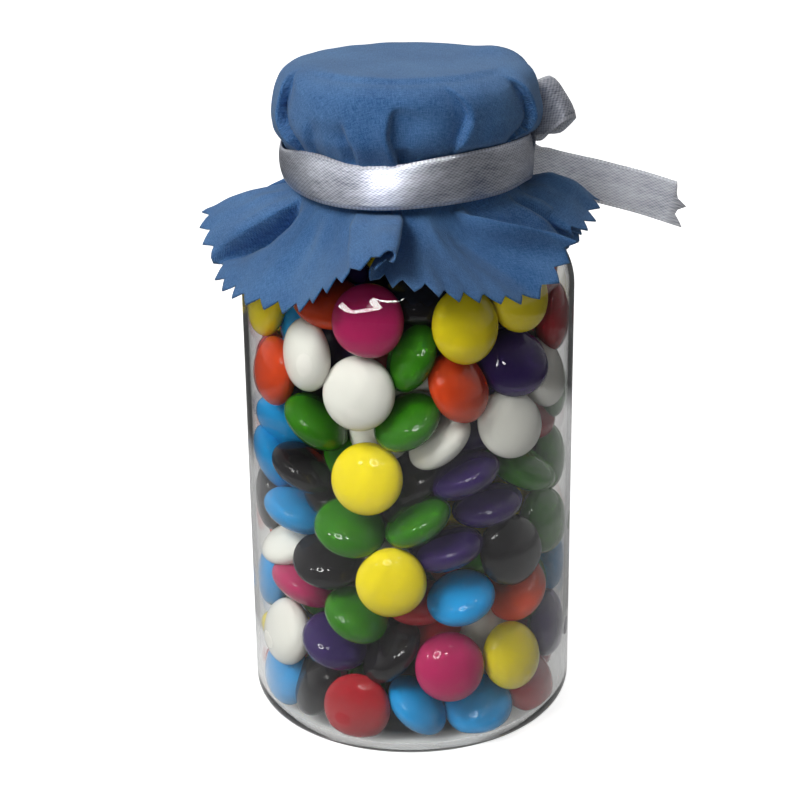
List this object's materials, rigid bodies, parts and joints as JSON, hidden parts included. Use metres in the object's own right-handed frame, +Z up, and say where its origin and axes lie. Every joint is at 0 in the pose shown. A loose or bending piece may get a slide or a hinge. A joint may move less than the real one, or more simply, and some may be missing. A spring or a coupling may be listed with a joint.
{
  "type": "jar of chocolate buttons",
  "caption": "Clear straight-sided jar filled with coloured sugar-coated chocolate buttons, its lid under a pinked blue cloth cover tied with a satin ribbon bow.",
  "frame": {"origin": "centre of the jar's flat base, on the surface it stands on", "axes": "+Z up along the jar's axis; -Y is the shown front; the ribbon's free tail reaches out to +X and its bow is tied at the back right (+X, +Y)"},
  "size_m": [0.1031, 0.0959, 0.1421],
  "materials": {
    "clear_jar": "clear, smooth, thin wall",
    "lid_metal": "plain, satin",
    "candy_shell": "polished sugar shell in mixed colours: yellow, white, green, blue, orange-red, red, pink, purple and black",
    "blue_cotton": "matt plain-weave cotton",
    "silver_satin": "satin weave with woven edges"
  },
  "bodies": {
    "root": {"jar": "clear_jar", "lid": "lid_metal", "sweets": "candy_shell", "cloth_cover": "blue_cotton", "ribbon": "silver_satin"}
  },
  "joints": []
}
